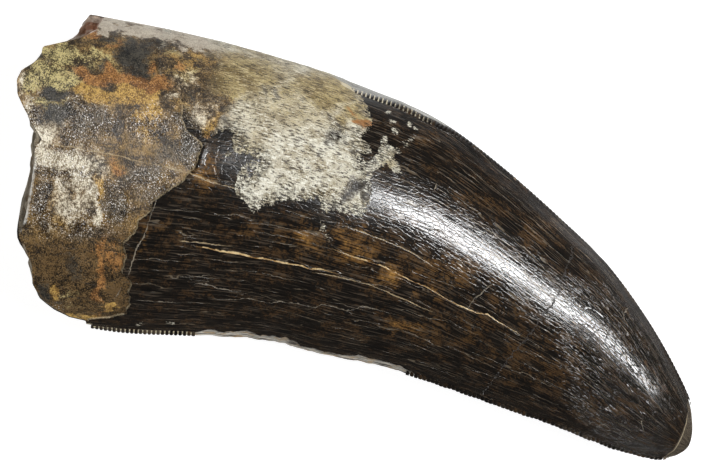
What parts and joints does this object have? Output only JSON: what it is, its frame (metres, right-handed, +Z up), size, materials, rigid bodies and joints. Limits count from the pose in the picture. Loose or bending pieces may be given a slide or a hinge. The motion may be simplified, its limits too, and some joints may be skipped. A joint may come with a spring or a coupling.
{
  "type": "tyrannosaurus tooth fossil",
  "caption": "Fossil tooth of a large theropod dinosaur, curved and saw-edged, with a broken root, lying on its side.",
  "frame": {"origin": "on the resting surface, under the middle of the tooth's bounding box", "axes": "+X from the broken base towards the tip, +Y towards the convex front edge, +Z up from the resting surface"},
  "size_m": [0.0848, 0.0556, 0.0247],
  "materials": {
    "fossil_tooth": "glossy dark brown fossil enamel over a mottled ochre and grey root, with a matte cream crust"
  },
  "bodies": {
    "root": {"tooth": "fossil_tooth"}
  },
  "joints": []
}
